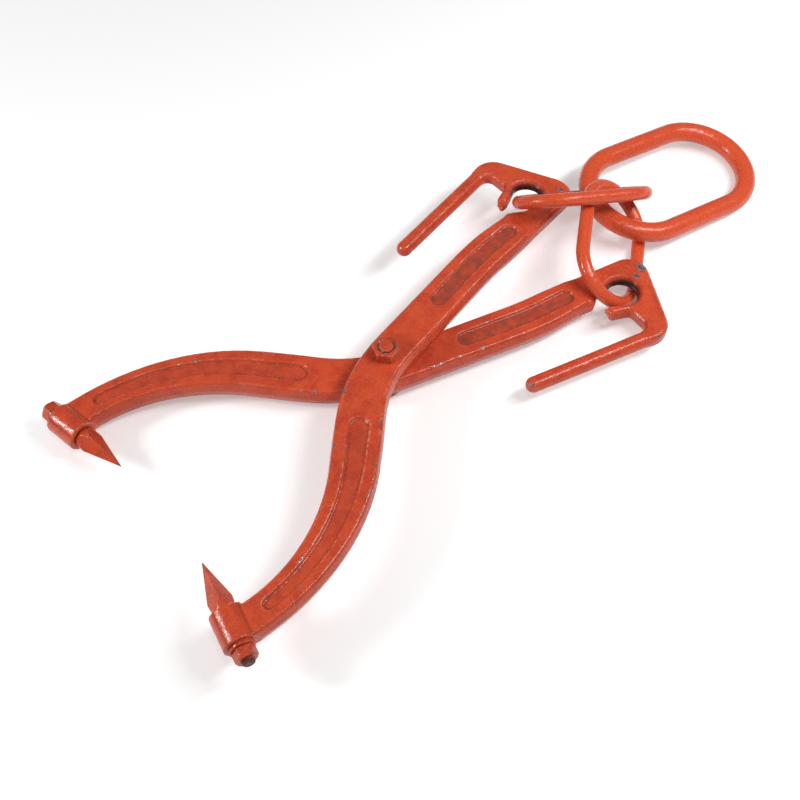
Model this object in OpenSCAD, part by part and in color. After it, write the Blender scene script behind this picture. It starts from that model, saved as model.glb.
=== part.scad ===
// Log tongs: two crossed forged arms on a pivot bolt, replaceable gripping points,
// and two links and a master ring that pull the arms shut.
// Origin: pivot axis, at the rest face under the bolt head. +X runs to the ring.

/* [Arm curve] */
// Distance from the pivot to each link eye, along the tongs
eye_reach = 297; // [285:1:310]
// Distance from the middle line of the tongs to each link eye
eye_side = 88; // [86:0.5:90]
// Slope of the limb between the pivot and the jaw curve, in degrees
jaw_slope = 46.25; // [43:0.25:50]
// Radius of the jaw curve, on the limb's centreline
jaw_r = 252; // [235:1:270]
// Length of the straight limb between the jaw curve and the bend at the pivot
jaw_run = 64.3; // [50:0.1:80]
// Length of the straight limb between the point boss and the jaw curve
tip_run = 21; // [15:1:35]
// Radius of the bend at the pivot
neck_r = 179; // [160:1:200]
// Length of that bend on the head side of the pivot
neck_head_len = 13.6; // [8:0.1:25]
// Radius of the slight bend behind the head
wrist_r = 392; // [330:2:450]
// Turn of the slight bend behind the head, in degrees
wrist_turn = 7.2; // [5:0.2:9]

/* [Arms] */
// Thickness of each arm
arm_t = 25; // [22:0.5:28]
// Thickness of the flat head plate at the end of each arm
head_t = 19.4; // [18:0.2:19.8]
// Width of each arm beside the point boss, at the forging's parting line
limb_w_tip = 40.6; // [36:0.2:44]
// Width of each arm at its widest, between the point and the pivot
limb_w_max = 57; // [50:0.5:62]
// Width of each arm beside the pivot and along the head side
limb_w = 51; // [46:0.5:56]
// Distance from the pivot back to the widest place
widest_from_pivot = 113.5; // [90:0.5:140]
// How much narrower the limb is on each side at its end in the head plate
limb_end_in = 3.4; // [2:0.2:5]
// Length over which the limb thins down to the head plate
head_taper = 14; // [10:1:35]
// How far the parting line stands out past the edge of each face
limb_draft = 2; // [1:0.1:3]
// Size of the rounded-off edge of each arm
edge_c = 2.5; // [1:0.1:3.5]

/* [Joint faces and recesses] */
// Radius of the raised face where the arms bear on each other
face_r = 89; // [70:1:95]
// Height of the raised face
face_h = 0.35; // [0.2:0.05:1]
// Running gap between the two raised faces
joint_gap = 0.3; // [0.2:0.05:0.6]
// Depth of the long recesses in both faces of each arm
recess_d = 3.2; // [1:0.1:5]
// Width of the recess on the head side
recess_w_head = 20.5; // [12:0.5:26]
// Width of the tapered recess at its point end
recess_w_tip = 13.5; // [8:0.5:18]
// Width of the tapered recess at its pivot end
recess_w_mid = 23; // [14:0.5:28]
// Distance from the limb's point end to the tapered recess
recess_from_tip = 30; // [24:0.5:40]
// Distance from the raised face to each recess
recess_gap = 3; // [1:0.5:8]
// Distance from the recess on the head side to the limb's end in the head
recess_from_end = 20; // [16:0.5:30]

/* [Head] */
// Length of the limb's root, between the bend behind the head and the limb's end
root_run = 54.5; // [48:0.5:60]
// How far the link eye lies past the limb's end
eye_past = 32.7; // [30:0.1:40]
// How far the link eye lies outside the limb's end
eye_out = 31.1; // [30:0.1:33]
// How far the head's front corner lies ahead of the eye
front_ahead = 64.7; // [60:0.1:67]
// How far the head's front corner lies inside the eye
front_in = 33.5; // [32:0.5:36]
// How far the head's outer edge lies outside the eye
head_out = 83.5; // [78:0.5:90]
// Radius of the link eye
eye_r = 19; // [18:0.25:20]
// Size of the rounded-off edge all round the head plate
head_edge = 3.75; // [2.5:0.25:4.5]
// Size of the larger rounded-off edge round the link eye
eye_edge = 6; // [5:0.1:6.5]
// Diameter of the small ball on the end of the nose
nub_d = 8; // [6:0.5:9]
// Diameter of the finger rod beside each arm
rod_d = 19.4; // [16:0.2:19.8]
// Length of the finger rod from the head's outer corner to its round end
rod_len = 170; // [120:1:190]

/* [Pivot] */
// Diameter of the pivot bolt
pivot_d = 19; // [15:0.5:22]
// Clearance on diameter of the pivot bore
pivot_clear = 0.5; // [0.3:0.1:1]
// Width across flats of the bolt head and the nut
pivot_af = 28.6; // [27:0.2:33]
// Height of the bolt head, which the tongs rest on
pivot_head_h = 17.1; // [15.5:0.1:20]
// Height of the pivot nut
pivot_nut_h = 13.5; // [10:0.5:20]
// How far the bolt end stands out of the nut
pivot_proud = 2; // [0.5:0.5:6]

/* [Points] */
// Outer diameter of the boss that holds each point
boss_d = 37; // [33:0.5:40]
// Length of the boss
boss_len = 40.5; // [36:0.5:46]
// How far the boss's nut face lies inside the limb's outer edge
boss_in = 5.8; // [4:0.1:8]
// How far the boss's axis lies beyond the limb's end, at the nut face
boss_beyond = 8.2; // [6:0.2:10]
// Lean of the point's axis towards the pivot, in degrees
point_lean = 11.4; // [6:0.2:16]
// Length of the point outside the boss
point_len = 62; // [45:1:70]
// Diameter of the point where it meets the boss
point_base_d = 24.5; // [22:0.5:26]
// Diameter of the point at its widest
point_max_d = 27; // [25:0.5:29]
// Distance from the boss to the widest place
point_swell = 15; // [10:0.5:20]
// Diameter of the threaded shank
shank_d = 14.3; // [12:0.1:17]
// Clearance on diameter of the shank in its bore, its washer and its nut
shank_clear = 0.3; // [0.2:0.1:0.8]
// Width across flats of the shank nut
shank_af = 22.2; // [20:0.2:25]
// Height of the shank nut
shank_nut_h = 12.5; // [10:0.5:18]
// How far the shank stands out of its nut
shank_proud = 4.5; // [1:0.5:10]
// Outer diameter of the lock washer
washer_d = 28.5; // [24:0.5:32]
// Thickness of the lock washer
washer_t = 4; // [2:0.2:5]
// Width of the slit in the lock washer
washer_slit = 1.6; // [0.8:0.2:3]

/* [Links and ring] */
// Diameter of the link bar
link_bar = 17; // [15:0.25:17]
// Distance between the centres of a link's two straight bars
link_w = 96.4; // [96.4:0.2:99]
// Length of a link between the centres of its two ends
link_len = 170.6; // [170.6:0.2:173]
// Diameter of the ring bar
ring_bar = 25.6; // [23:0.2:26]
// Distance between the centres of the ring's two straight bars
ring_w = 134.9; // [134.9:0.2:140]
// Length of the ring between the centres of its two ends
ring_len = 235.7; // [232:0.5:240]

/* [Hidden] */
$fn = 64;

// Paint and steel
paint = [0.80, 0.36, 0.25];
steel = [0.36, 0.36, 0.37];

// Levels
lower_z = pivot_head_h;
arm_pitch = arm_t + 2 * face_h + joint_gap;
upper_z = lower_z + arm_pitch;
stack_top = upper_z + arm_t;
mid = arm_t / 2;
seat_gap = 0.2;
// Room cut in the limb behind the boss's nut face: its length, and how much wider it is than the boss
nut_room = 30;
nut_gap = 6;
// How far the head plate reaches along the finger rod, and how much of its width it takes
rod_overlap = 12;
rod_share = 0.9;
// Turn of the pivot nut's flats
nut_turn = 12.4;
// Broken edges at the ends of the pivot bolt and of the point shanks, and the point's blunt end
bolt_chamfer = 1.5;
shank_chamfer = 1;
tip_r = 1.2;
// Slope of the slit in a lock washer, and where it lies round the washer
slit_slope = 20;
slit_turn = 60;

// Where the limb ends in the head, in the lower arm's plan
limb_end = [eye_reach - eye_past, eye_out - eye_side];
// Straight run of the limb between its two bends, and its slope, which bring it to that end
neck_turn = neck_head_len / neck_r * 180 / PI;
bends_x = neck_r * sin(neck_turn) + wrist_r * sin(wrist_turn) + root_run * cos(wrist_turn);
bends_y = wrist_r * (1 - cos(wrist_turn)) + root_run * sin(wrist_turn) - neck_r * (1 - cos(neck_turn));
head_run = sqrt(limb_end * limb_end - bends_y * bends_y) - bends_x;
head_slope = atan2(bends_y, head_run + bends_x) - atan2(limb_end[1], limb_end[0]);

// The arm's centreline: runs of length and turn, from the point end to the head
jaw_len = jaw_r * jaw_slope * PI / 180;
neck_len = neck_r * (jaw_slope - head_slope) * PI / 180;
wrist_len = wrist_r * wrist_turn * PI / 180;
path_runs = [[tip_run, 0], [jaw_len, -jaw_slope], [jaw_run, 0], [neck_len, jaw_slope - head_slope],
             [head_run, 0], [wrist_len, wrist_turn], [root_run, 0]];
// Distances along the centreline
s_pivot = tip_run + jaw_len + jaw_run + neck_len - neck_head_len;
s_root = s_pivot + neck_head_len + head_run + wrist_len;
s_end = s_root + root_run;
s_widest = s_pivot - widest_from_pivot;
station_step = 14;

// Centreline place and heading [x, y, heading] at distance s
function run_end(p, len, turn) =
    let (chord = turn == 0 ? len : 2 * (len / (turn * PI / 180)) * sin(turn / 2))
    [p[0] + chord * cos(p[2] + turn / 2), p[1] + chord * sin(p[2] + turn / 2), p[2] + turn];
function along(s, p = path_start, i = 0) =
    i == len(path_runs) - 1 || s <= path_runs[i][0]
        ? run_end(p, s, path_runs[i][1] * s / path_runs[i][0])
        : along(s - path_runs[i][0], run_end(p, path_runs[i][0], path_runs[i][1]), i + 1);
path_start = concat(-flat(along(s_pivot, [0, 0, 0])), 0);
// A place beside the centreline, side > 0 on the left
function beside(s, side) =
    let (p = along(s))
    [p[0] - side * sin(p[2]), p[1] + side * cos(p[2])];

// A value that goes smoothly from v0 at s0 to v1 at s1
function ease(s, s0, s1, v0, v1) =
    v0 + (v1 - v0) * (1 - cos(180 * min(max((s - s0) / (s1 - s0), 0), 1))) / 2;
// Half width of the limb at its parting line
function half_w(s) =
    s < s_widest ? ease(s, tip_run, s_widest, limb_w_tip, limb_w_max) / 2
    : s < s_root ? ease(s, s_widest, s_pivot, limb_w_max, limb_w) / 2
    : limb_w / 2 - limb_end_in * (s - s_root) / root_run;
// Half thickness of the limb, which thins down to the head plate
function half_t(s) = lookup(s, [
    [0, mid], [s_end - head_taper, mid], [s_end, head_t / 2 - seat_gap]]);

// One drafted cross-section of the limb
function section(s) =
    let (p = along(s), w = half_w(s), t = half_t(s), c = edge_c, d = limb_draft)
    [for (q = [[w - d - c, -t], [w - d, c - t], [w, 0], [w - d, t - c], [w - d - c, t],
               [d + c - w, t], [d - w, t - c], [-w, 0], [d - w, c - t], [d + c - w, -t]])
        [p[0] - q[0] * sin(p[2]), p[1] + q[0] * cos(p[2]), mid + q[1]]];
stations = [for (s = [0 : station_step : s_end - 1]) s, s_end];

// Outline of a band that follows the centreline, with round ends
function band(s0, s1, w0, w1) =
    let (n = 12, a = along(s0), b = along(s1))
    concat(
        [for (i = [0 : n]) beside(s0 + (s1 - s0) * i / n, (w0 + (w1 - w0) * i / n) / 2)],
        [for (i = [1 : 7]) [b[0] + w1 / 2 * cos(b[2] + 90 - i * 22.5),
                            b[1] + w1 / 2 * sin(b[2] + 90 - i * 22.5)]],
        [for (i = [n : -1 : 0]) beside(s0 + (s1 - s0) * i / n, -(w0 + (w1 - w0) * i / n) / 2)],
        [for (i = [1 : 7]) [a[0] + w0 / 2 * cos(a[2] - 90 - i * 22.5),
                            a[1] + w0 / 2 * sin(a[2] - 90 - i * 22.5)]]);

// The arc that rounds corner b of an outline a, b, c; a corner is [x, y, radius]
function flat(p) = [p[0], p[1]];
function unit(v) = v / norm(v);
function corner(a, b, c) =
    let (u = unit(flat(a) - flat(b)), v = unit(flat(c) - flat(b)), r = b[2],
         half = acos(u * v) / 2,
         o = flat(b) + unit(u + v) * r / sin(half),
         t1 = flat(b) + u * r / tan(half) - o,
         t2 = flat(b) + v * r / tan(half) - o,
         from = atan2(t1[1], t1[0]),
         sweep = atan2(cross(t1, t2), t1 * t2),
         n = ceil(abs(sweep) / 15))
    r == 0 ? [flat(b)]
           : [for (i = [0 : n]) o + r * [cos(from + sweep * i / n), sin(from + sweep * i / n)]];
function rounded(pts) =
    [for (i = [1 : len(pts) - 2]) each corner(pts[i - 1], pts[i], pts[i + 1])];

// Head plate, in the lower arm's plan
eye = [eye_reach, -eye_side];
rod_lean = 13;
rod_root = eye + [-18, -67.5];
rod_n = [sin(rod_lean), cos(rod_lean)];
rod_joint = rod_root + rod_overlap * [-cos(rod_lean), sin(rod_lean)];
throat_angle = 105;
eye_first = eye + eye_r * [cos(throat_angle), -sin(throat_angle)];
eye_last = eye + eye_r * [cos(throat_angle), sin(throat_angle)];
// A corner beside the eye: ahead of it, inside it, and the radius that rounds it
function by_eye(ahead, in, r) = [eye[0] + ahead, eye[1] + in, r];
head_root = [by_eye(-62, 12, 0), by_eye(-62, 58.5, 0)];
// Place of the small ball on the nose's end, and its height above the plate's middle
nub = by_eye(-33.5, -9.5, 0);
nub_up = 3.5;
head_outline = concat(
    rounded([
        head_root[0],
        head_root[1],
        by_eye(front_ahead, front_in, 25),
        by_eye(1.5, -head_out, 28),
        [each rod_joint - rod_n * rod_d * rod_share / 2, 0],
        [each rod_joint + rod_n * rod_d * rod_share / 2, 0],
        by_eye(-14, -59, 9),
        by_eye(-13, -27.5, 6),
        by_eye(-36.5, -17, 3.5),
        by_eye(-31, -5, 3),
        [each eye_first, 0]]),
    [for (a = [-throat_angle : 15 : throat_angle]) eye + eye_r * [cos(a), sin(a)]],
    rounded([
        [each eye_last, 0],
        by_eye(-20, 19, 6),
        by_eye(-41, 7.5, 3),
        head_root[0],
        head_root[1]]));

// Point axis, in the lower arm's plan: from the nut face towards the tip
boss_face = beside(0, limb_w_tip / 2 - boss_in) - [boss_beyond, 0];

// Middles of the two eyes, and the rest places of the loops: centre, then roll, pitch and yaw
lower_eye = [eye[0], eye[1], lower_z + mid];
upper_eye = [eye[0], -eye[1], upper_z + mid];
lower_link_at = lower_eye + [40.5, 61.5, 12.7];
lower_link_turn = [41.5, -2.4, 41.4];
upper_link_at = upper_eye + [53.1, -45.7, 4.4];
upper_link_turn = [-43.6, 14.2, -18.3];
ring_at = lower_link_at + [144.7, 39.6, -12.4];
ring_turn = [6.3, 6.5, -6.2];

// Limb of the arm as one drafted loft
module limb() {
    n = 10;
    m = len(stations);
    points = [for (s = stations) each section(s)];
    sides = [for (i = [0 : m - 2], j = [0 : n - 1], half = [0, 1])
        half == 0 ? [i * n + j, (i + 1) * n + (j + 1) % n, i * n + (j + 1) % n]
                  : [i * n + j, (i + 1) * n + j, (i + 1) * n + (j + 1) % n]];
    ends = [for (j = [1 : n - 2], far = [0, 1])
        far == 0 ? [0, j, j + 1]
                 : [(m - 1) * n, (m - 1) * n + j + 1, (m - 1) * n + j]];
    polyhedron(points = points, faces = concat(ends, sides), convexity = 6);
}

// Place something on the point's axis, z = 0 at the nut face and +z to the tip
module on_point_axis() {
    translate([boss_face[0], boss_face[1], mid])
    rotate([0, 0, point_lean])
    rotate([90, 0, 0])
    children();
}

// Double cone that breaks the edges of the head plate
module edge_tool() {
    cylinder(r1 = head_edge, r2 = 0, h = head_edge, $fn = 16);
    mirror([0, 0, 1])
    cylinder(r1 = head_edge, r2 = 0, h = head_edge, $fn = 16);
}

// Head plate with its eye, throat and nose, the small ball on the nose's end, and the finger rod
module head() {
    translate([0, 0, mid])
    minkowski() {
        linear_extrude(head_t - 2 * head_edge, center = true)
        offset(delta = -head_edge)
        polygon(head_outline);
        edge_tool();
    }
    translate([nub[0], nub[1], mid + nub_up])
    sphere(d = nub_d, $fn = 32);
    translate([rod_root[0], rod_root[1], mid])
    rotate([0, -90, -rod_lean])
    rotate_extrude()
    polygon(concat([[0, 0], [rod_d / 2, 0]],
                   [for (a = [0 : 15 : 75]) [rod_d / 2 * cos(a),
                                             rod_len - rod_d / 2 + rod_d / 2 * sin(a)]],
                   [[0, rod_len]]));
}

// Raised round face on the side that meets the other arm
module joint_face() {
    intersection() {
        translate([0, 0, arm_t - 1])
        cylinder(r = face_r, h = 1 + face_h, $fn = 128);
        translate([0, 0, arm_t - 2])
        linear_extrude(4)
        polygon(band(s_pivot - face_r - 30, s_pivot + face_r + 30,
                     limb_w - 2 * limb_draft - 2 * edge_c, limb_w - 2 * limb_draft - 2 * edge_c));
    }
}

// Recess cut in one face; the face is at z = 0 and the cut goes down
module recess(s0, s1, w0, w1) {
    translate([0, 0, -recess_d])
    linear_extrude(recess_d + 1)
    polygon(band(s0, s1, w0, w1));
}
module recesses() {
    tip_end = recess_from_tip + recess_w_tip / 2;
    mid_end = s_pivot - face_r - recess_gap - recess_w_mid / 2;
    head_start = s_pivot + face_r + recess_gap + recess_w_head / 2;
    head_end = s_end - recess_from_end - recess_w_head / 2;
    recess(tip_end, mid_end, recess_w_tip, recess_w_mid);
    recess(head_start, head_end, recess_w_head, recess_w_head);
}

// One arm in the lower arm's place, underside at z = 0, joint face up
module arm() {
    difference() {
        union() {
            difference() {
                limb();
                on_point_axis()
                translate([0, 0, -nut_room])
                cylinder(d = boss_d + nut_gap, h = nut_room);
            }
            head();
            joint_face();
            on_point_axis()
            cylinder(d = boss_d, h = boss_len);
        }
        translate([0, 0, -1])
        cylinder(d = pivot_d + pivot_clear, h = arm_t + face_h + 2);
        on_point_axis()
        translate([0, 0, -1])
        cylinder(d = shank_d + shank_clear, h = boss_len + 2);
        translate([0, 0, arm_t])
        recesses();
        mirror([0, 0, 1])
        recesses();
        for (side = [0, 1])
            translate([eye[0], eye[1], mid])
            mirror([0, 0, side])
            translate([0, 0, head_t / 2 - eye_edge])
            cylinder(r1 = eye_r, r2 = eye_r + eye_edge + 1, h = eye_edge + 1);
    }
}

// Put a lower-arm piece in the lower or the upper arm's place
module as_lower() {
    translate([0, 0, lower_z])
    children();
}
module as_upper() {
    translate([0, 0, upper_z + arm_t])
    rotate([180, 0, 0])
    children();
}

// Hexagon with turned-down corners on both ends of a bolt head or nut
module hex_body(af, h, bore) {
    ac = af / cos(30);
    difference() {
        intersection() {
            cylinder(d = ac, h = h, $fn = 6);
            rotate_extrude()
            polygon([[0, 0], [af / 2, 0], [ac / 2, (ac - af) / 2], [ac / 2, h - (ac - af) / 3],
                     [af / 2 + 0.2, h], [0, h]]);
        }
        if (bore > 0)
            translate([0, 0, -1])
            cylinder(d = bore, h = h + 2);
    }
}

module bolt() {
    len = stack_top + seat_gap + pivot_nut_h + pivot_proud;
    hex_body(pivot_af, pivot_head_h, 0);
    rotate_extrude()
    polygon([[0, pivot_head_h - 1], [pivot_d / 2, pivot_head_h - 1],
             [pivot_d / 2, len - bolt_chamfer], [pivot_d / 2 - bolt_chamfer, len], [0, len]]);
}

// Four-sided point with a round swelling base, and its threaded shank
module point() {
    back = washer_t + shank_nut_h + shank_proud;
    on_point_axis() {
        translate([0, 0, -back])
        rotate_extrude()
        polygon([[0, 0], [shank_d / 2 - shank_chamfer, 0], [shank_d / 2, shank_chamfer],
                 [shank_d / 2, back + boss_len + 1], [0, back + boss_len + 1]]);
        translate([0, 0, boss_len])
        intersection() {
            rotate_extrude()
            polygon([[0, 0], [point_base_d / 2 - 0.5, 0], [point_base_d / 2, 0.5],
                     [point_max_d / 2 - 0.4, point_swell * 0.6], [point_max_d / 2, point_swell],
                     [point_max_d / 2, point_swell + 4], [tip_r, point_len], [0, point_len]]);
            cylinder(r1 = point_max_d / 2 * point_len / (point_len - point_swell), r2 = tip_r / 2,
                     h = point_len, $fn = 4);
        }
    }
}

module lock_washer() {
    on_point_axis()
    translate([0, 0, -washer_t])
    difference() {
        cylinder(d = washer_d, h = washer_t);
        translate([0, 0, -1])
        cylinder(d = shank_d + shank_clear, h = washer_t + 2);
        rotate([0, slit_slope, slit_turn])
        translate([0, -washer_slit / 2, -washer_t])
        cube([washer_d, washer_slit, 4 * washer_t]);
    }
}

module point_nut() {
    on_point_axis()
    translate([0, 0, -washer_t - shank_nut_h])
    hex_body(shank_af, shank_nut_h, shank_d + shank_clear);
}

// A long loop of round bar, in the XY plane with its long side along X
module loop(bar, width, length) {
    run = (length - width) / 2;
    for (side = [-1, 1]) {
        translate([side * run, 0, 0])
        rotate([0, 0, side * 90 - 180])
        rotate_extrude(angle = 180, $fn = 96)
        translate([width / 2, 0])
        circle(d = bar, $fn = 32);
        translate([-run, side * width / 2, 0])
        rotate([0, 90, 0])
        cylinder(d = bar, h = 2 * run, $fn = 32);
    }
}
module placed(at, turn) {
    translate(at)
    rotate(turn)
    children();
}

module lower_arm() { color(paint) as_lower() arm(); }
module upper_arm() { color(paint) as_upper() arm(); }
module pivot_bolt() { color(steel) bolt(); }
module pivot_nut() {
    color(paint)
    translate([0, 0, stack_top + seat_gap])
    rotate(nut_turn)
    hex_body(pivot_af, pivot_nut_h, pivot_d + shank_clear);
}
module lower_point() { color(paint) as_lower() point(); }
module upper_point() { color(paint) as_upper() point(); }
module lower_lock_washer() { color(paint) as_lower() lock_washer(); }
module upper_lock_washer() { color(paint) as_upper() lock_washer(); }
module lower_point_nut() { color(paint) as_lower() point_nut(); }
module upper_point_nut() { color(paint) as_upper() point_nut(); }
module lower_link() {
    color(paint) placed(lower_link_at, lower_link_turn) loop(link_bar, link_w, link_len);
}
module upper_link() {
    color(paint) placed(upper_link_at, upper_link_turn) loop(link_bar, link_w, link_len);
}
module master_ring() {
    color(paint) placed(ring_at, ring_turn) loop(ring_bar, ring_w, ring_len);
}

lower_arm();
upper_arm();
pivot_bolt();
pivot_nut();
lower_point();
upper_point();
lower_lock_washer();
upper_lock_washer();
lower_point_nut();
upper_point_nut();
lower_link();
upper_link();
master_ring();
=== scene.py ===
import math

import bmesh
import bpy
import numpy as np
from mathutils import Matrix, Vector


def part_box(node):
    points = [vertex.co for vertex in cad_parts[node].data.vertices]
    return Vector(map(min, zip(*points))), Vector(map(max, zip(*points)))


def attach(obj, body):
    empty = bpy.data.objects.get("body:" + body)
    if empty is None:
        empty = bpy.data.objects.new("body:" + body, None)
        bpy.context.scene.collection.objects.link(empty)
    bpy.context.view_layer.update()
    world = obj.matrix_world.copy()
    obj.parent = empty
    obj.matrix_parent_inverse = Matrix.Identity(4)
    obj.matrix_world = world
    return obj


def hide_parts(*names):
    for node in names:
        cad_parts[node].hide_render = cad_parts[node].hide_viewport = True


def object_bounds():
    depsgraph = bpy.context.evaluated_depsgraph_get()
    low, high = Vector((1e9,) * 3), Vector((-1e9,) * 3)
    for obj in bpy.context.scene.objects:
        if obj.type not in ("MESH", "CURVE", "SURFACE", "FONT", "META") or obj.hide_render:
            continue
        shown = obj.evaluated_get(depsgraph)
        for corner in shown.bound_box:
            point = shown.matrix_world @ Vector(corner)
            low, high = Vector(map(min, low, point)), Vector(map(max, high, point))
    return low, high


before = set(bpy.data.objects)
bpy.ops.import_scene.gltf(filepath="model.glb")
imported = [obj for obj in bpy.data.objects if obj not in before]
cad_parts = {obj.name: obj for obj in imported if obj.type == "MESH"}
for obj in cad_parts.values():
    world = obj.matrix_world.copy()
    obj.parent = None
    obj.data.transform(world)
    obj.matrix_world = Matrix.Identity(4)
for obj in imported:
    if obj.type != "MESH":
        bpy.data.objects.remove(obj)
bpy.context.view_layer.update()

# Camera of the photograph: focal length and pivot place in its 800 pixel frame
IMAGE_PX = 800
FOCAL_PX = 1200
PIVOT_PX = (386.2, 353.4)
PIVOT_DISTANCE = 1.368
CAMERA_TILT = math.radians(34.5)
CAMERA_TURN = math.radians(38.744)
SENSOR = 36.0

# Sizes of the forgings that the finish follows, in metres
ARM_T = 0.025
RECESS_D = 0.0032
RECESS_END_X = 0.247
ROD_Y = 0.095
POINT_LEAN = math.radians(11.4)
BOSS_FACE = (-0.3282, 0.1847)
BOSS_LEN = 0.0405
BOSS_R = 0.0185
POINT_LEN = 0.062
POINT_BASE_R = 0.01225
WASHER_T = 0.004
SHANK_NUT_H = 0.0125
SHANK_R = 0.00715
PIVOT_R = 0.0095
THREAD_DEPTH = 0.0009
SHANK_PITCH = 0.0023
PIVOT_PITCH = 0.0025

# Paint and metal colours, linear
ORANGE = (0.66, 0.078, 0.025)
DEEP_ORANGE = (0.50, 0.048, 0.017)
NUT_SHADE = (0.36, 0.038, 0.015)
CHAIN_ORANGE = (0.71, 0.086, 0.026)
# Pale: light speckles, and edge lines that are partly wear and partly painted highlight
PALE = (0.80, 0.30, 0.20)
# Dark brown: dirt specks, and painted shade with grime in hollows, the link eye, the point's gap and the boss seam
GRIME_AND_SHADE = (0.050, 0.014, 0.010)
# Brown of the recess floors: painted shade and dust
FLOOR_GRIME_AND_SHADE = (0.20, 0.055, 0.040)
STUD_BROWN = (0.085, 0.028, 0.021)
DARK_STEEL = (0.05, 0.05, 0.055)
BRIGHT_STEEL = (0.42, 0.43, 0.45)

# The link eye of the lower arm, in its plan, and its radius
EYE = (0.297, -0.088)
EYE_R = 0.019

# Worn places of the arms, in the plan of the lower arm: x, y and radius; the other arm has its own
SCUFFS = {
    "lower_arm": ((0.341, -0.076, 0.014), (0.326, -0.082, 0.008), (0.282, -0.165, 0.006),
                  (0.256, -0.094, 0.004)),
    "upper_arm": ((0.333, 0.066, 0.008), (0.20, 0.160, 0.005), (-0.069, -0.011, 0.007),
                  (-0.231, -0.139, 0.004), (-0.245, -0.145, 0.004)),
}


def photo_camera():
    """Camera at the photograph's place, worked out from where it shows the top of the pivot."""
    turn, tilt = CAMERA_TURN, CAMERA_TILT
    right = Vector((math.cos(turn), -math.sin(turn), 0))
    ahead = Vector((math.sin(tilt) * math.sin(turn), math.sin(tilt) * math.cos(turn), -math.cos(tilt)))
    up = right.cross(ahead)
    pivot = Vector((0, 0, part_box("pivot_nut")[0][2]))
    side = (PIVOT_PX[0] - IMAGE_PX / 2) / FOCAL_PX * PIVOT_DISTANCE
    drop = (PIVOT_PX[1] - IMAGE_PX / 2) / FOCAL_PX * PIVOT_DISTANCE
    place = pivot - ahead * PIVOT_DISTANCE - right * side + up * drop
    data = bpy.data.cameras.new("photo_camera")
    data.sensor_width = SENSOR
    data.lens = FOCAL_PX / IMAGE_PX * SENSOR
    camera = bpy.data.objects.new("photo_camera", data)
    camera.matrix_world = Matrix.Translation(place) @ Matrix((right, up, -ahead)).transposed().to_4x4()
    bpy.context.collection.objects.link(camera)
    bpy.context.scene.camera = camera


def area_light(name, place, size, watts, aim=(0.1, 0, 0)):
    """A flat soft lamp, size wide and high, that faces a point."""
    data = bpy.data.lights.new(name, "AREA")
    data.shape = "RECTANGLE"
    data.size, data.size_y = size
    data.energy = watts
    lamp = bpy.data.objects.new(name, data)
    lamp.location = place
    lamp.rotation_euler = (Vector(aim) - Vector(place)).to_track_quat("-Z", "Y").to_euler()
    bpy.context.collection.objects.link(lamp)


class Tree:
    """Short calls for building one node material."""

    def __init__(self, name):
        self.material = bpy.data.materials.new(name)
        self.material.use_nodes = True
        self.nodes = self.material.node_tree.nodes
        self.links = self.material.node_tree.links
        self.shader = self.nodes["Principled BSDF"]
        self.place = self.nodes.new("ShaderNodeTexCoord").outputs["Object"]

    def put(self, socket, value):
        if isinstance(value, bpy.types.NodeSocket):
            self.links.new(value, socket)
        elif isinstance(value, tuple):
            socket.default_value = (*value, 1) if len(value) < len(socket.default_value) else value
        else:
            socket.default_value = value

    def noise(self, scale, detail=3.0, rough=0.5):
        node = self.nodes.new("ShaderNodeTexNoise")
        node.inputs["Scale"].default_value = scale
        node.inputs["Detail"].default_value = detail
        node.inputs["Roughness"].default_value = rough
        self.put(node.inputs["Vector"], self.place)
        return node.outputs["Fac"]

    def attribute(self, name):
        node = self.nodes.new("ShaderNodeAttribute")
        node.attribute_name = name
        return node.outputs["Fac"]

    def step(self, value, low, high, to_low=0.0, to_high=1.0):
        """A soft step of value from low to high."""
        node = self.nodes.new("ShaderNodeMapRange")
        node.interpolation_type = "SMOOTHSTEP"
        for socket, v in zip(node.inputs, (value, low, high, to_low, to_high)):
            self.put(socket, v)
        return node.outputs["Result"]

    def math(self, operation, a, b):
        node = self.nodes.new("ShaderNodeMath")
        node.operation = operation
        node.use_clamp = True
        self.put(node.inputs[0], a)
        self.put(node.inputs[1], b)
        return node.outputs["Value"]

    def mix(self, share, a, b):
        node = self.nodes.new("ShaderNodeMix")
        node.data_type = "RGBA"
        self.put(node.inputs["Factor"], share)
        self.put(node.inputs[6], a)
        self.put(node.inputs[7], b)
        return node.outputs[2]

    def bump(self, height, distance, strength=1.0, normal=None):
        node = self.nodes.new("ShaderNodeBump")
        node.inputs["Distance"].default_value = distance
        node.inputs["Strength"].default_value = strength
        self.put(node.inputs["Height"], height)
        if normal:
            self.put(node.inputs["Normal"], normal)
        return node.outputs["Normal"]


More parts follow.
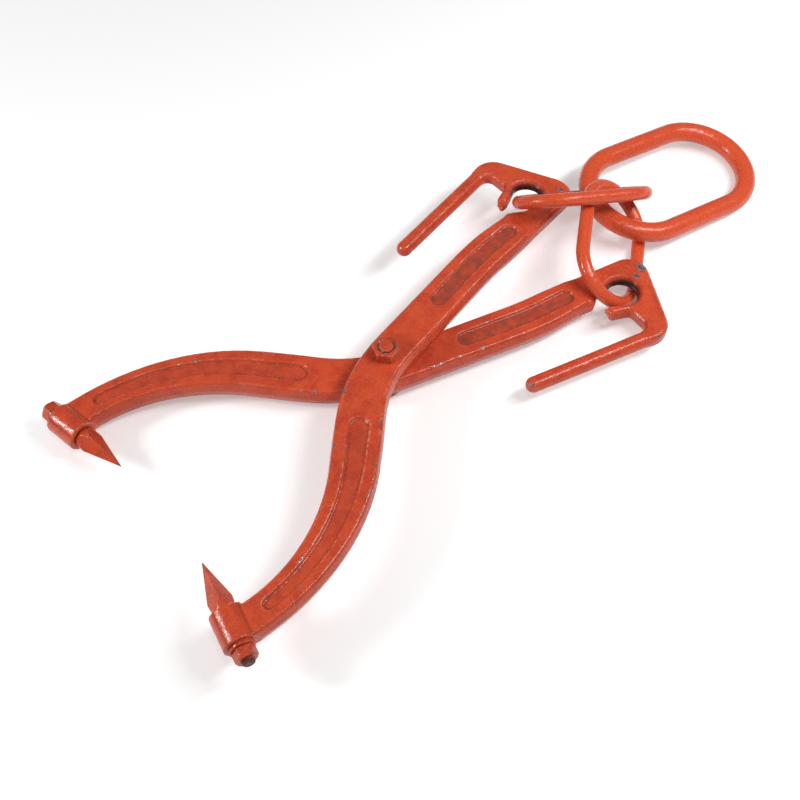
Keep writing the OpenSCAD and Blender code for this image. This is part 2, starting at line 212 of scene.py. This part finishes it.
def paint(name, light, deep, chips=0.5):
    """Brushed-on gloss paint: mottled colour, painted shade with grime in the hollows, painted shade with dust on
    the recess floors, pale edges that are partly wear and partly painted highlight, brown on bare places and as
    painted shade in the bolt's gap, and chips to the steel.

    Reads the mesh attributes edge and hollow, where 0.5 is flat, recess, scuff and bare."""
    t = Tree(name)
    edge = t.attribute("edge")
    hollow = t.attribute("hollow")
    fine = t.noise(520, 4, 0.6)
    patch = t.noise(55, 5, 0.6)
    broad = t.noise(11, 3)
    broken = t.noise(160, 3, 0.65)
    colour = t.mix(t.step(patch, 0.30, 0.62), deep, light)
    colour = t.mix(t.step(broad, 0.35, 0.65, 0.0, 0.35), colour, deep)
    colour = t.mix(t.step(fine, 0.46, 0.78, 0.0, 0.22), colour, PALE)
    colour = t.mix(t.step(t.noise(300, 4, 0.7), 0.60, 0.74, 0.0, 0.45), colour, GRIME_AND_SHADE)
    # Recess floors darkened: painted shade and dust
    floor_shade_and_dust = t.math("MULTIPLY", t.attribute("recess"), t.step(t.noise(130, 4), 0.30, 0.70, 0.15, 0.75))
    colour = t.mix(floor_shade_and_dust, colour, FLOOR_GRIME_AND_SHADE)
    # Hollows, link eye, point gap and boss seam darkened: painted shade, with grime
    shade_and_grime = t.math("MULTIPLY", t.step(hollow, 0.36, 0.08), t.step(broken, 0.34, 0.60, 0.0, 0.75))
    shade_and_grime = t.math("MAXIMUM", shade_and_grime, t.math("MULTIPLY", t.attribute("eye"), t.step(broken, 0.25, 0.55, 0.85, 1.0)))
    colour = t.mix(shade_and_grime, colour, GRIME_AND_SHADE)
    # Pale broken lines along rounded edges: partly worn paint, partly painted highlight
    worn = t.math("MULTIPLY", t.step(edge, 0.60, 0.86), t.step(broken, 0.40, 0.66))
    colour = t.mix(t.math("MULTIPLY", worn, t.step(t.noise(24, 3), 0.42, 0.62, 0.12, 0.75)), colour, PALE)
    # Brown on bare places: thin paint, and painted shade of the pivot bolt's gap to the nut
    bare_and_gap_shade = t.math("MULTIPLY", t.attribute("bare"), t.step(patch, 0.3, 0.6, 0.7, 1.0))
    colour = t.mix(bare_and_gap_shade, colour, STUD_BROWN)
    flake = t.math("MULTIPLY", t.step(edge, 0.58, 0.72),
                   t.step(t.noise(70, 6, 0.7), 0.66 - 0.06 * chips, 0.69 - 0.06 * chips))
    scuff = t.math("MULTIPLY", t.attribute("scuff"), t.noise(430, 5, 0.75))
    metal = t.math("MAXIMUM", flake, t.step(scuff, 0.34, 0.40))
    steel = t.mix(t.step(t.noise(900, 2), 0.40, 0.60), DARK_STEEL, BRIGHT_STEEL)
    colour = t.mix(metal, colour, steel)
    t.put(t.shader.inputs["Base Color"], colour)
    t.put(t.shader.inputs["Metallic"], t.math("MULTIPLY", metal, 0.6))
    rough = t.step(t.noise(260, 4, 0.6), 0.42, 0.62, 0.12, 0.34)
    t.put(t.shader.inputs["Roughness"], t.math("MAXIMUM", rough, t.math("MULTIPLY", bare_and_gap_shade, 0.6)))
    t.shader.inputs["Specular IOR Level"].default_value = 0.38
    waves = t.bump(t.noise(60, 3, 0.5), 0.0006)
    grain = t.bump(t.noise(210, 4, 0.6), 0.00045, 1.0, waves)
    t.put(t.shader.inputs["Normal"], t.bump(t.math("SUBTRACT", 1.0, metal), 0.0002, 1.0, grain))
    return t.material


def points_of(mesh):
    """Vertex places and normals of a mesh as arrays."""
    co = np.empty(len(mesh.vertices) * 3, np.float32)
    mesh.vertices.foreach_get("co", co)
    normals = np.empty(len(mesh.vertices) * 3, np.float32)
    mesh.vertex_normals.foreach_get("vector", normals)
    return co.reshape(-1, 3).astype(float), normals.reshape(-1, 3).astype(float)


def relief(mesh, rounds, depth):
    """How far each vertex stands out of its surroundings: 0.5 is flat, 1 stands out by depth, 0 lies in."""
    co, normals = points_of(mesh)
    ends = np.empty(len(mesh.edges) * 2, np.int32)
    mesh.edges.foreach_get("vertices", ends)
    a, b = ends.reshape(-1, 2).T
    total = np.bincount(np.concatenate((a, b)), minlength=len(co))[:, None]
    flat = co
    for _ in range(rounds):
        near = np.stack([np.bincount(a, flat[b, i], len(co)) + np.bincount(b, flat[a, i], len(co))
                         for i in range(3)], axis=1)
        flat = 0.4 * flat + 0.6 * near / total
    out = ((co - flat) * normals).sum(axis=1)
    return np.clip(0.5 + 0.5 * out / depth, 0, 1)


def mark(mesh, name, values):
    """Store one number per vertex for the materials to read."""
    mesh.attributes.new(name, "FLOAT", "POINT").data.foreach_set("value", np.asarray(values, np.float32))


def forged(node, body, material, voxel, rounds, shape=None, bare=None):
    """A dense copy of a CAD piece with softly rounded edges, which takes the piece's place.

    shape moves the vertices, and bare says where the paint is thin and brown; on the pivot bolt this brown is also
    painted shade of its gap to the nut."""
    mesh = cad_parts[node].data.copy()
    bm = bmesh.new()
    bm.from_mesh(mesh)
    bmesh.ops.remove_doubles(bm, verts=bm.verts, dist=1e-6)
    bm.to_mesh(mesh)
    bm.free()
    rough = bpy.data.objects.new(node + "_rough", mesh)
    bpy.context.collection.objects.link(rough)
    remesh = rough.modifiers.new("remesh", "REMESH")
    remesh.mode = "VOXEL"
    remesh.voxel_size = voxel
    smooth = rough.modifiers.new("smooth", "SMOOTH")
    smooth.factor = 0.5
    smooth.iterations = rounds
    deps = bpy.context.evaluated_depsgraph_get()
    dense = bpy.data.meshes.new_from_object(rough.evaluated_get(deps))
    bpy.data.objects.remove(rough)
    if shape:
        co, _ = points_of(dense)
        dense.vertices.foreach_set("co", shape(co).astype(np.float32).ravel())
        dense.update()
    dense.polygons.foreach_set("use_smooth", np.ones(len(dense.polygons), bool))
    co, normals = points_of(dense)
    mark(dense, "edge", relief(dense, 6, 0.45 * voxel))
    mark(dense, "hollow", relief(dense, 24, 1.1 * voxel))
    mark(dense, "recess", recess_floor(co, normals) if node.endswith("arm") else np.zeros(len(co)))
    mark(dense, "scuff", scuffed(co, SCUFFS.get(node, ())))
    # eye carries painted shade: the link eye with grime, the gap at the point and the boss seam
    mark(dense, "eye", shade_and_grime_places(co) if node.endswith("arm") else np.zeros(len(co)))
    mark(dense, "bare", bare(co) if bare else np.zeros(len(co)))
    dense.materials.clear()
    dense.materials.append(material)
    piece = bpy.data.objects.new(node + "_forging", dense)
    bpy.context.collection.objects.link(piece)
    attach(piece, body)
    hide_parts(node)
    return piece


def recess_floor(co, normals):
    """1 on the floors of an arm's long recesses and 0.35 towards the points: the paint darkens them as painted
    shade and dust.
    """
    middle = (co[:, 2].min() + co[:, 2].max()) / 2
    depth = ARM_T / 2 - np.abs(co[:, 2] - middle)
    level = np.clip(1 - np.abs(depth - RECESS_D) / 0.0012, 0, 1)
    # Weaker towards the points: share of painted shade and dust
    dust_and_shade_share = np.where(co[:, 0] < 0, 0.35, 1.0)
    limb = (co[:, 0] < 0) | (np.abs(co[:, 1]) < ROD_Y) & (co[:, 0] < RECESS_END_X)
    return level * dust_and_shade_share * limb * (np.abs(normals[:, 2]) > 0.6)


def shade_and_grime_places(co):
    """1 on the wall of an arm's link eye and in the gap where the point enters the boss, 0.35 along the boss's
    seam with the limb: the paint darkens these as painted shade, with grime in the eye.
    """
    away = np.hypot(co[:, 0] - EYE[0], np.abs(co[:, 1]) + EYE[1])
    eye = np.clip(1 - (away - EYE_R - 0.0005) / 0.0035, 0, 1) * (away > EYE_R - 0.004)
    middle = (co[:, 2].min() + co[:, 2].max()) / 2
    side = 1 if co[np.argmin(co[:, 0]), 1] > 0 else -1
    rel = co - np.array((BOSS_FACE[0], side * BOSS_FACE[1], middle))
    along = rel @ np.array((math.sin(POINT_LEAN), -side * math.cos(POINT_LEAN), 0))
    out = np.sqrt(np.maximum((rel ** 2).sum(axis=1) - along ** 2, 0))
    gap = np.clip(1 - (out - POINT_BASE_R - 0.0006) / 0.0008, 0, 1) * (np.abs(along - BOSS_LEN) < 0.004)
    seam = np.clip(1 - np.abs(out - BOSS_R - 0.0004) / 0.0010, 0, 1) * (along > 0) * (along < BOSS_LEN)
    seam = seam * (np.abs(np.abs(co[:, 2] - middle) - ARM_T / 2) < 0.0012)
    return np.maximum(np.maximum(eye, gap), 0.35 * seam)


def scuffed(co, places):
    """1 in the middle of each worn place of the upper side, fading to 0 at its rim."""
    worn = np.zeros(len(co))
    upper = co[:, 2] > (co[:, 2].min() + co[:, 2].max()) / 2 + 0.006
    for x, y, radius in places:
        worn = np.maximum(worn, 1 - np.hypot(co[:, 0] - x, co[:, 1] - y) / radius)
    return np.sqrt(np.clip(worn, 0, 1)) * upper


def point_axis(node):
    """Nut face centre and direction of a gripping point."""
    low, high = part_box(node)
    side = 1 if low[1] + high[1] > 0 else -1
    foot = np.array((BOSS_FACE[0], side * BOSS_FACE[1], (low[2] + high[2]) / 2))
    return foot, np.array((math.sin(POINT_LEAN), -side * math.cos(POINT_LEAN), 0))


def thread(co, foot, axis, start, end, radius, pitch):
    """Cut a screw thread into a round bar between two distances along its axis."""
    rel = co - foot
    along = rel @ axis
    radial = rel - along[:, None] * axis
    size = np.linalg.norm(radial, axis=1)
    u = np.cross(axis, (0.36, 0.48, 0.8))
    u /= np.linalg.norm(u)
    angle = np.arctan2(radial @ np.cross(axis, u), radial @ u)
    wave = np.abs(((along / pitch + angle / (2 * math.pi)) % 1) - 0.5) * 2
    there = (along > start) & (along < end) & (size > radius - 0.0012)
    cut = np.where(there, THREAD_DEPTH * (1 - wave), 0)
    return co - radial / np.maximum(size, 1e-6)[:, None] * cut[:, None]


def gripping_point(node, body):
    foot, axis = point_axis(node)
    nut_end = -WASHER_T - SHANK_NUT_H

    def shape(co):
        return thread(co, foot, axis, -0.05, nut_end + 0.0005, SHANK_R, SHANK_PITCH)

    def bare(co):
        along = (co - foot) @ axis
        tip = np.clip((along - (BOSS_LEN + POINT_LEN - 0.007)) / 0.004, 0, 1)
        stud = np.clip((nut_end - along) / 0.001, 0, 1)
        return np.maximum(0.6 * tip, stud)

    forged(node, body, point_paint, 0.00042, 3, shape, bare)


def pivot_bolt():
    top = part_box("pivot_nut")[1][2]

    def shape(co):
        return thread(co, np.zeros(3), np.array((0.0, 0, 1)), top - 0.004, 0.2, PIVOT_R, PIVOT_PITCH)

    def bare(co):
        # Rim and thread above the nut: bare thread, and painted shade of the gap to the nut
        rim = np.clip((np.hypot(co[:, 0], co[:, 1]) - (PIVOT_R - 0.0014)) / 0.0008, 0, 1)
        return rim * (co[:, 2] > top - 0.006)

    forged("pivot_bolt", "lower_half", nut_paint, 0.0005, 2, shape, bare)


photo_camera()
area_light("left", (-1.40, 0.73, 0.95), (0.36, 0.36), 15)
area_light("strip", (0.75, -0.60, 1.20), (1.15, 0.22), 15, (0.75, 0, 0))
area_light("spark", (-0.38, -0.56, 1.55), (0.12, 0.12), 1.8)

bpy.context.scene.view_settings.view_transform = "Standard"


def background_rays(nodes):
    """The rays that show the background: what the camera, a gloss or a glass sees."""
    path = nodes.new("ShaderNodeLightPath").outputs
    return path["Is Camera Ray"], path["Is Glossy Ray"], path["Is Transmission Ray"]


def studio_world():
    """Weak white light from all round, which is full white where it is seen."""
    world = bpy.data.worlds.new("studio")
    world.use_nodes = True
    nodes, links = world.node_tree.nodes, world.node_tree.links
    back = nodes["Background"]
    back.inputs["Color"].default_value = (1, 1, 1, 1)
    strength = 0.22
    for ray in background_rays(nodes)[::2]:
        node = nodes.new("ShaderNodeMath")
        node.operation = "MAXIMUM"
        links.new(ray, node.inputs[0])
        if isinstance(strength, float):
            node.inputs[1].default_value = strength
        else:
            links.new(strength, node.inputs[1])
        strength = node.outputs["Value"]
    links.new(strength, back.inputs["Strength"])
    bpy.context.scene.world = world


def studio_floor():
    """Pale floor that keeps the shadow, shows white to the camera and in reflections, and whiter far off."""
    bpy.ops.mesh.primitive_plane_add(size=60, location=(0, 0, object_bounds()[0][2]))
    floor = bpy.context.object
    floor.name = "floor"
    t = Tree("floor_white")
    t.shader.inputs["Base Color"].default_value = (0.86, 0.86, 0.86, 1)
    t.shader.inputs["Roughness"].default_value = 0.8
    camera, gloss, glass = background_rays(t.nodes)
    seen = t.math("MAXIMUM", t.math("MAXIMUM", camera, gloss), glass)
    far = t.nodes.new("ShaderNodeVectorMath")
    far.operation = "LENGTH"
    t.put(far.inputs[0], t.place)
    glow = t.step(far.outputs["Value"], 0.7, 3.0, 0.33, 0.82)
    t.shader.inputs["Emission Color"].default_value = (1, 1, 1, 1)
    t.put(t.shader.inputs["Emission Strength"], t.math("MULTIPLY", seen, glow))
    floor.data.materials.append(t.material)


studio_world()
studio_floor()
orange = paint("orange_paint", ORANGE, DEEP_ORANGE, chips=1.1)
point_paint = paint("point_paint", ORANGE, DEEP_ORANGE, chips=1.7)
chain = paint("chain_paint", CHAIN_ORANGE, ORANGE, chips=0.2)
nut_paint = paint("nut_paint", ORANGE, NUT_SHADE, chips=1.2)

for half in ("lower", "upper"):
    body = half + "_half"
    forged(half + "_arm", body, orange, 0.00129, 2)
    gripping_point(half + "_point", body)
    forged(half + "_lock_washer", body, nut_paint, 0.0004, 1)
    forged(half + "_point_nut", body, nut_paint, 0.0004, 2)
    forged(half + "_link", half + "_link", chain, 0.0011, 3)
forged("pivot_nut", "lower_half", nut_paint, 0.0005, 2)
forged("master_ring", "master_ring", chain, 0.0013, 3)
pivot_bolt()
